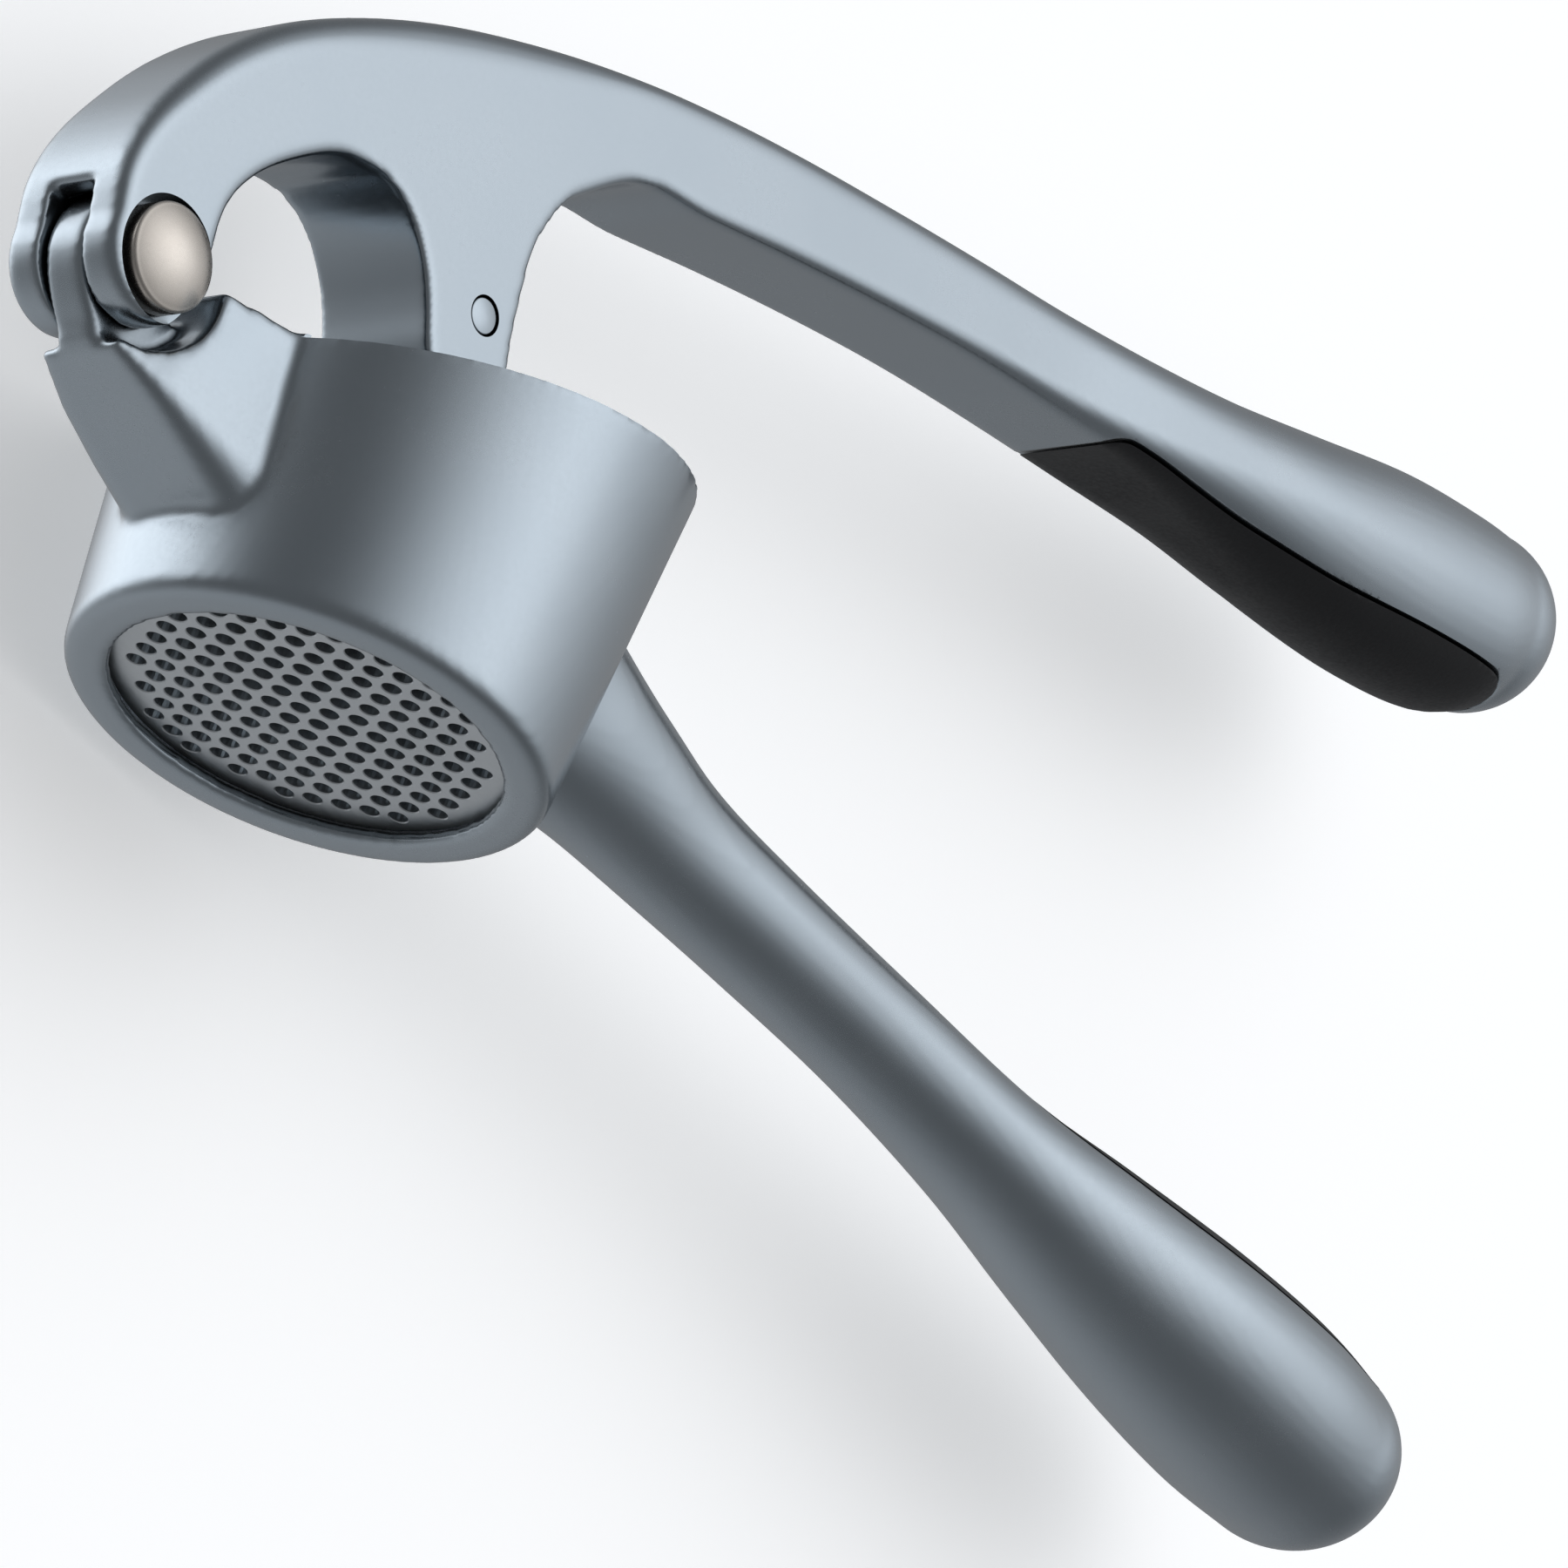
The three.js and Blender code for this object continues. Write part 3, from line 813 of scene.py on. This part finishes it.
@dataclass
class LowerHandle:
    """Cup, wedge bracket, knuckle and lower arm in one casting, with a soft insert on its inner side."""

    bottom: float = -17.49
    rim_y: float = 6.74
    rim_tilt: float = 0.24
    radius_bottom: float = 17.87
    radius_rim: float = 20.0
    edge: float = 1.1
    bore_floor: float = -16.5
    bore_bottom: float = 15.2
    bore_rim: float = 17.5
    mouth: float = 14.4
    tall: float = 14.0
    steps: int = 160
    arm: tuple[Station, ...] = (
        (46, -0.4, 0, 9.6, 7.2, 0.85, 0.85),
        (50, -1.4, 0, 8.3, 6.6, 0.9, 0.9),
        (55, -1.9, 0, 7.2, 6.2, 0.95, 0.95),
        (61, -2.4, 0, 6.3, 5.7, 1, 1),
        (69, -3.1, 0, 5.4, 5.1, 1, 1),
        (80, -3.2, 0, 5.0, 5.05, 1, 1),
        (96, -3.2, 0, 4.9, 5.2, 1, 1),
        (112, -3.7, 0, 5.3, 6.0, 1, 1),
        (126, -3.9, 0, 6.9, 7.5, 1, 1),
        (140, -4.0, 0, 8.2, 9.1, 1, 1),
        (152, -4.1, 0, 8.7, 9.7, 1, 1),
        (160, -4.2, 0, 8.3, 9.2, 1, 1),
    )
    wedge: tuple[Station, ...] = (
        (-0.1, -7.0, 0.9, -4.0, 3.55, 0.2, 0.05),
        (4.2, -8.5, 5.8, 1.6, 4.9, 0.24, 0.05),
        (9.0, -10.1, 10.0, 2.2, 5.75, 0.36, 0.05),
        (12.9, -11.35, 13.4, 2.6, 6.25, 0.44, 0.05),
        (17.0, -11.35, 17.0, 3.0, 6.4, 0.44, 0.05),
    )
    neck: tuple[Point, ...] = (
        (-4.6, -1.4), (-4.0, -2.8), (-2.8, -4.3), (-1.2, -5.7), (0.3, -6.9),
        (8.5, -6.0), (7.5, -1.5), (4.6, -1.2), (3.5, 0), (-4, 0), (-4.6, -1.4),
    )
    knuckle_edge: float = 0.45
    tip_length: float = 8.8
    seam: tuple[Point, ...] = (
        (108.6, 6.0), (109.2, 2.4), (111.5, 0.6), (116.0, 0.2), (126.0, 0.4), (140.0, 0.9), (152.0, 1.2),
        (159.0, 1.2), (162.6, 2.1), (163.8, 4.6), (164.0, 9.0),
    )
    voxel: float = 0.385
    relax: int = 6
    spare: float = 0.45
    # The rim is trimmed crisp all round, but not where the wedge rises through it.
    wedge_x: Point = (5.0, 13.2)
    wedge_half: float = 6.4

    def build(self) -> None:
        """Builds and dresses the casting and its insert."""
        arm = skin(rounded_end(sections(on_centre_line(self.arm), 8), self.tip_length), "arm")
        grip = copy_of(arm, "grip")
        combine(grip, self._insert(SEAM_GAP), Cut.KEEP)
        soft_edges(grip, GRIP_EDGE)
        body = self._cup()
        above = self._above_rim(self.spare)
        combine(body, above, Cut.REMOVE, keep_tool=True)
        combine(arm, above, Cut.REMOVE)
        wedge = skin([Section(Vector(s[0:2]), Vector(s[2:4]), s[4], s[5], s[6]) for s in self.wedge], "wedge")
        combine(wedge, peg(HINGE_SIZES.cradle, 12), Cut.REMOVE)
        combine_all(body, [wedge, arm], Cut.ADD)
        combine(body, self._bore(), Cut.REMOVE)
        half = HINGE_SIZES.knuckle_half
        knuckle = revolve(rounded_bar(HINGE_SIZES.knuckle, half, self.knuckle_edge), about_z(), 96)
        neck = soft_edges(prism([tuple(p) for p in spline(self.neck, 3)][:-1], half), self.knuckle_edge)
        combine_all(body, [knuckle, neck], Cut.ADD)
        as_casting(body, self.voxel, self.relax)
        trim = self._above_rim(0.0)
        combine(trim, block(self.wedge_x, (-30.0, 40.0), self.wedge_half), Cut.REMOVE)
        combine_all(body, [trim, self._insert(0.0), peg(HINGE_SIZES.hole, 8)], Cut.REMOVE)
        hand_over(body, "lower_handle_casting", CAST_ZINC, Body.LOWER, "lower_handle")
        hand_over(grip, "lower_handle_grip", SOFT_GRIP, Body.LOWER, "lower_grip")

    def _rim_at(self, x: float) -> float:
        """Returns the height of the slanted rim at x."""
        return self.rim_y + (x - CUP_X) * math.tan(self.rim_tilt)

    def _cup(self) -> bpy.types.Object:
        """Makes the cup's outside, taller than its rim.

        Returns:
            The solid cup.
        """
        grow = (self.radius_rim - self.radius_bottom) / (self.rim_y - self.bottom)
        top, edge = self.tall, self.edge
        corner = [
            (self.radius_bottom - edge + edge * math.sin(a), self.bottom + edge - edge * math.cos(a))
            for a in (k / 6 * math.pi / 2 for k in range(7))
        ]
        profile = [(0, self.bottom), *corner, (self.radius_rim + grow * (top - self.rim_y), top), (0, top)]
        return revolve(profile, about_y(CUP_X), self.steps)

    def _bore(self) -> bpy.types.Object:
        """Makes the space inside the cup and the hole in its bottom lip.

        Returns:
            The cutting tool.
        """
        grow = (self.bore_rim - self.bore_bottom) / (self.rim_y - self.bore_floor)
        low, top = self.bottom - 2, self.tall + 2
        profile = [
            (0, low), (self.mouth, low), (self.mouth, self.bore_floor), (self.bore_bottom, self.bore_floor),
            (self.bore_rim + grow * (top - self.rim_y), top), (0, top),
        ]
        return revolve(profile, about_y(CUP_X), self.steps)

    def _above_rim(self, spare: float) -> bpy.types.Object:
        """Makes the space above the slanted rim.

        Args:
            spare: how far above the rim the space starts, in mm.

        Returns:
            The space, as a cutting tool.
        """
        left, right = CUP_X - 24, CUP_X + 24
        low, high = self._rim_at(left) + spare, self._rim_at(right) + spare
        return prism([(left, low), (right, high), (right, 30), (left, 30)], 24)

    def _insert(self, gap: float) -> bpy.types.Object:
        """Makes the space of the soft insert: all of the bulb above the seam."""
        line = [(x, y) for x, y in spline(self.seam, 6)]
        return prism(shrunk([*line, (line[-1][0], 20.0), (line[0][0], 20.0)], -gap), 16)


@dataclass
class HingePin:
    """Domed rivet with a head in each counterbore."""

    edge: float = 5.8
    rim: float = 0.22

    def build(self) -> None:
        """Builds and dresses the rivet."""
        h = HINGE_SIZES
        rise, flat = h.dome - self.edge, h.head - self.rim
        bow = (flat ** 2 + rise ** 2) / (2 * rise)
        tilt = math.asin(flat / bow)
        dome = [
            (bow * math.sin(a), self.edge + rise - bow * (1 - math.cos(a)))
            for a in (tilt * (1 - k / 18) for k in range(19))
        ]
        dome[-1] = (0.0, h.dome)
        seat = h.bore_floor + 0.1
        half = [(h.shaft, seat), (h.head - 0.3, seat), (h.head, seat + 0.3), (h.head, self.edge - self.rim),
                (h.head - self.rim * 0.3, self.edge - self.rim * 0.3), *dome]
        profile = [*[(r, -z) for r, z in reversed(half)], *half]
        hand_over(revolve(profile, about_z(), 128), "hinge_rivet", PIN_NICKEL, Body.UPPER, "hinge_pin")


@dataclass
class PlungerPin:
    """Flush pin that carries the plunger, with a fine chamfer at each end."""

    chamfer: float = 0.12

    def build(self) -> None:
        """Builds and dresses the pin."""
        r, half, c = PIVOT.radius, PIVOT.half, self.chamfer
        end = [(r, half - c), (r - c * 0.3, half - c * 0.3), (r - c, half), (0, half)]
        profile = [*[(u, -z) for u, z in reversed(end)], *end]
        pin = revolve(profile, about_z(PIVOT.x, PIVOT.y), 64)
        hand_over(pin, "plunger_pivot_pin", CAST_ZINC, Body.UPPER, "plunger_pin")


@dataclass
class Plunger:
    """Press plate, stem and eye in one casting, drawn with the press closed and swung back to rest."""

    closed_deg: float = -18.5
    swing: float = -0.25
    radius: float = 14.3
    thick: float = 3.0
    plate_y: float = -15.0
    eye: float = 2.9
    eye_half: float = 2.2
    voxel: float = 0.3
    relax: int = 4

    def build(self) -> None:
        """Builds and dresses the plunger."""
        turn = Matrix.Rotation(math.radians(self.closed_deg), 2)
        pin = turn @ Vector((PIVOT.x, PIVOT.y))
        top = self.plate_y + self.thick
        profile = [
            (0, self.plate_y), (self.radius - 0.5, self.plate_y), (self.radius, self.plate_y + 0.5),
            (self.radius, top - 0.8), (self.radius - 1.2, top), (6.6, top + 0.2), (5.0, top + 1.4),
            (4.1, top + 4), (3.7, top + 8.6), (3.0, top + 9.3), (0, top + 9.3),
        ]
        body = revolve(profile, about_y(CUP_X), 128)
        tongue = prism([
            (pin.x - self.eye, pin.y), (CUP_X - 2.6, self.plate_y + 6),
            (CUP_X + 2.6, self.plate_y + 6), (pin.x + self.eye, pin.y),
        ], self.eye_half)
        combine_all(body, [tongue, peg(self.eye, self.eye_half, pin.x, pin.y)], Cut.ADD)
        combine(body, peg(PIVOT.hole, 6, pin.x, pin.y), Cut.REMOVE)
        as_casting(body, self.voxel, self.relax)
        angle = -(1 + self.swing) * math.radians(self.closed_deg)
        back = (
            Matrix.Translation(place(PIVOT.x, PIVOT.y)) @ Matrix.Rotation(angle, 4, "Z")
            @ Matrix.Translation(-place(pin.x, pin.y))
        )
        body.data.transform(back)
        hand_over(body, "plunger_casting", CAST_ZINC, Body.PLUNGER, "plunger")


@dataclass
class Sieve:
    """Perforated steel disc on the cup's bottom lip, its holes set out by geometry nodes."""

    radius: float = 14.9
    thickness: float = 0.9
    bottom: float = -16.2
    hole: float = 0.72
    pitch: float = 2.15
    field_radius: float = 13.4
    count: int = 15
    burr: float = 0.07

    def build(self) -> None:
        """Builds and dresses the disc."""
        holder = new_object("sieve", bpy.data.meshes.new("sieve"))
        step = holder.modifiers.new("holes", "NODES")
        tree = self._tree()
        step.node_group = tree
        values = {
            "Disc radius": self.radius * MM, "Thickness": self.thickness * MM, "Hole radius": self.hole * MM,
            "Pitch": self.pitch * MM, "Field radius": self.field_radius * MM,
            "Centre": tuple(place(CUP_X, self.bottom + self.thickness / 2)),
        }
        for socket in tree.interface.items_tree:
            if socket.in_out == "INPUT" and socket.name in values:
                step[socket.identifier] = values[socket.name]
        bevel = holder.modifiers.new("burr", "BEVEL")
        bevel.width = self.burr * MM
        bevel.segments = 1
        bevel.angle_limit = math.radians(50)
        settle(holder)
        piece = hand_over(holder, "sieve_disc", SIEVE_STEEL, Body.LOWER, "sieve")
        piece.data.shade_flat()

    def _tree(self) -> bpy.types.NodeTree:
        """Builds the node tree: a disc less a staggered grid of round holes.

        Returns:
            The tree.
        """
        tree = bpy.data.node_groups.new("perforated_disc", "GeometryNodeTree")
        for name, kind in (
            ("Disc radius", "NodeSocketFloat"), ("Thickness", "NodeSocketFloat"), ("Hole radius", "NodeSocketFloat"),
            ("Pitch", "NodeSocketFloat"), ("Field radius", "NodeSocketFloat"), ("Centre", "NodeSocketVector"),
        ):
            tree.interface.new_socket(name, in_out="INPUT", socket_type=kind)
        tree.interface.new_socket("Geometry", in_out="OUTPUT", socket_type="NodeSocketGeometry")
        given = tree.nodes.new("NodeGroupInput").outputs
        width = add_node(tree, "ShaderNodeMath", {0: given["Pitch"], 1: self.count - 1.0}, operation="MULTIPLY")
        depth = add_node(
            tree, "ShaderNodeMath", {0: width.outputs[0], 1: math.sqrt(3) / 2}, operation="MULTIPLY")
        grid = add_node(
            tree, "GeometryNodeMeshGrid",
            {"Size X": width.outputs[0], "Size Y": depth.outputs[0], "Vertices X": self.count,
             "Vertices Y": self.count},
        )
        index = add_node(tree, "GeometryNodeInputIndex").outputs[0]
        row = add_node(tree, "ShaderNodeMath", {0: index, 1: float(self.count)}, operation="MODULO").outputs[0]
        odd = add_node(tree, "ShaderNodeMath", {0: row, 1: 2.0}, operation="MODULO").outputs[0]
        half_pitch = add_node(tree, "ShaderNodeMath", {0: given["Pitch"], 1: 0.5}, operation="MULTIPLY").outputs[0]
        shift = add_node(tree, "ShaderNodeMath", {0: odd, 1: half_pitch}, operation="MULTIPLY").outputs[0]
        offset = add_node(tree, "ShaderNodeCombineXYZ", {"X": shift}).outputs[0]
        staggered = add_node(
            tree, "GeometryNodeSetPosition", {"Geometry": grid.outputs["Mesh"], "Offset": offset}).outputs[0]
        position = add_node(tree, "GeometryNodeInputPosition").outputs[0]
        reach = add_node(tree, "ShaderNodeVectorMath", {0: position}, operation="LENGTH").outputs["Value"]
        inside = add_node(
            tree, "ShaderNodeMath", {0: reach, 1: given["Field radius"]}, operation="LESS_THAN").outputs[0]
        tall = add_node(tree, "ShaderNodeMath", {0: given["Thickness"], 1: 3.0}, operation="MULTIPLY").outputs[0]
        punch = add_node(
            tree, "GeometryNodeMeshCylinder",
            {"Vertices": 20, "Radius": given["Hole radius"], "Depth": tall})
        punches = add_node(
            tree, "GeometryNodeInstanceOnPoints",
            {"Points": staggered, "Selection": inside, "Instance": punch.outputs["Mesh"]}).outputs[0]
        punched = add_node(tree, "GeometryNodeRealizeInstances", {"Geometry": punches}).outputs[0]
        disc = add_node(
            tree, "GeometryNodeMeshCylinder",
            {"Vertices": 128, "Radius": given["Disc radius"], "Depth": given["Thickness"]})
        pierced = add_node(
            tree, "GeometryNodeMeshBoolean",
            {"Mesh 1": disc.outputs["Mesh"], "Mesh 2": punched}, operation="DIFFERENCE")
        stood = add_node(
            tree, "GeometryNodeTransform",
            {"Geometry": pierced.outputs["Mesh"], "Translation": given["Centre"],
             "Rotation": (math.pi / 2, 0.0, 0.0)}).outputs[0]
        real = add_node(tree, "GeometryNodeRealizeInstances", {"Geometry": stood}).outputs[0]
        dressed = add_node(
            tree, "GeometryNodeSetMaterial", {"Geometry": real, "Material": SIEVE_STEEL.material()}).outputs[0]
        tree.links.new(dressed, tree.nodes.new("NodeGroupOutput").inputs[0])
        return tree


# ---- studio ----------------------------------------------------------------------------------


@dataclass
class Studio:
    """Pale floor, soft lights and the camera."""

    azimuth: float = -54.29
    elevation: float = 38.15
    roll: float = -84.91
    distance: float = 471.09
    lens: float = 160.0
    aim: tuple[float, float, float] = (43.76, -16.41, 33.2)
    ambient: float = 0.22
    backdrop: float = 0.95
    floor_half: float = 4.0
    floor_glow: float = 0.33
    glows: tuple[tuple[tuple[float, float, float], float, float], ...] = (
        ((0.27, 0.44, 0.86), 1.75, 4.0),
        ((0.84, 0.47, 0.2), 0.3, 5.0),
        ((-0.3, 0.37, -0.88), 2.2, 10.0),
        ((-0.75, 0.38, -0.54), 1.7, 14.0),
        ((0.15, -0.6, -0.79), 0.42, 3.0),
    )

    def build(self) -> None:
        """Builds the studio."""
        self._floor()
        self._world()
        self._camera()
        # Position and target in millimetres about the hinge, size in metres, power in watts.
        self._softbox("overhead_softbox", (660, 750, 1180), (60, 10, 0), 0.8, 0.35)

    def _floor(self) -> None:
        """Makes a pale floor under the press."""
        size = self.floor_half
        mesh = bpy.data.meshes.new("studio_floor")
        corners = [(-size, -size, 0), (size, -size, 0), (size, size, 0), (-size, size, 0)]
        mesh.from_pydata(corners, [], [(0, 1, 2, 3)])
        floor = new_object("studio_floor", mesh)
        paint = bpy.data.materials.new("pale_matt_board")
        paint.use_nodes = True
        tree = paint.node_tree
        where = add_node(tree, "ShaderNodeTexCoord").outputs["Object"]
        fleck = add_node(tree, "ShaderNodeTexNoise", {"Vector": where, "Scale": 40.0, "Detail": 3.0}).outputs["Fac"]
        rough = add_node(
            tree, "ShaderNodeMapRange", {"Value": fleck, "To Min": 0.75, "To Max": 0.85}).outputs["Result"]
        shader = tree.nodes["Principled BSDF"]
        shader.inputs["Base Color"].default_value = linear("f4f4f4")
        shader.inputs["Emission Color"].default_value = linear("ffffff")
        shader.inputs["Emission Strength"].default_value = self.floor_glow
        shader.inputs["Specular IOR Level"].default_value = 0.2
        tree.links.new(rough, shader.inputs["Roughness"])
        mesh.materials.append(paint)
        # The metal mirrors the soft surroundings, below as well as above, and not the board.
        floor.visible_glossy = False
        floor.visible_shadow = False

    def _world(self) -> None:
        """Makes soft surroundings out of broad glows, each about one direction."""
        world = bpy.data.worlds.new("studio")
        bpy.context.scene.world = world
        world.use_nodes = True
        tree = world.node_tree
        direction = add_node(tree, "ShaderNodeTexCoord").outputs["Generated"]
        total = self.ambient
        for toward, strength, sharpness in self.glows:
            facing = add_node(
                tree, "ShaderNodeVectorMath", {0: direction, 1: Vector(toward).normalized()},
                operation="DOT_PRODUCT").outputs["Value"]
            near = add_node(tree, "ShaderNodeMath", {0: facing, 1: 0.0}, operation="MAXIMUM").outputs[0]
            lobe = add_node(tree, "ShaderNodeMath", {0: near, 1: sharpness}, operation="POWER").outputs[0]
            total = add_node(
                tree, "ShaderNodeMath", {0: lobe, 1: strength, 2: total}, operation="MULTIPLY_ADD").outputs[0]
        background = tree.nodes["Background"]
        background.inputs["Color"].default_value = linear("fafcff")
        seen = add_node(tree, "ShaderNodeLightPath").outputs["Is Camera Ray"]
        pale = add_node(tree, "ShaderNodeMix", {0: seen, 2: total, 3: self.backdrop}, data_type="FLOAT")
        tree.links.new(pale.outputs[0], background.inputs["Strength"])

    def _camera(self) -> None:
        """Sets the camera by the direction it looks from."""
        az, el, roll = (math.radians(a) for a in (self.azimuth, self.elevation, self.roll))
        back = Vector((math.sin(az) * math.cos(el), -math.cos(az) * math.cos(el), math.sin(el)))
        right = Vector((0, 0, 1)).cross(back).normalized()
        up = back.cross(right)
        right_rolled = right * math.cos(roll) - up * math.sin(roll)
        up_rolled = up * math.cos(roll) + right * math.sin(roll)
        data = bpy.data.cameras.new("camera")
        data.lens = self.lens
        data.sensor_width = 36.0
        data.clip_end = 20.0
        camera = bpy.data.objects.new("camera", data)
        bpy.context.scene.collection.objects.link(camera)
        turn = Matrix((right_rolled, up_rolled, back)).transposed().to_4x4()
        camera.matrix_world = Matrix.Translation(place(*self.aim) + back * self.distance * MM) @ turn
        bpy.context.scene.camera = camera

    def _softbox(self, name: str, at: Sequence[float], to: Sequence[float], size: float, power: float) -> None:
        """Hangs one square area light.

        Args:
            name: the light's name.
            at: its place in millimetres about the hinge.
            to: the place it faces.
            size: its side in metres.
            power: its power in watts.
        """
        data = bpy.data.lights.new(name, "AREA")
        data.size = size
        data.energy = power
        light = bpy.data.objects.new(name, data)
        bpy.context.scene.collection.objects.link(light)
        where, target = place(*at), place(*to)
        light.location = where
        light.rotation_euler = (target - where).to_track_quat("-Z", "Y").to_euler()


def main() -> None:
    """Builds the press and its studio."""
    logging.basicConfig(level=logging.INFO, format="%(name)s: %(message)s")
    bpy.context.scene.view_settings.view_transform = "Standard"
    for part in (UpperHandle(), LowerHandle(), HingePin(), PlungerPin(), Plunger(), Sieve(), Studio()):
        LOG.info("building %s", type(part).__name__)
        part.build()


if __name__ == "__main__":
    main()
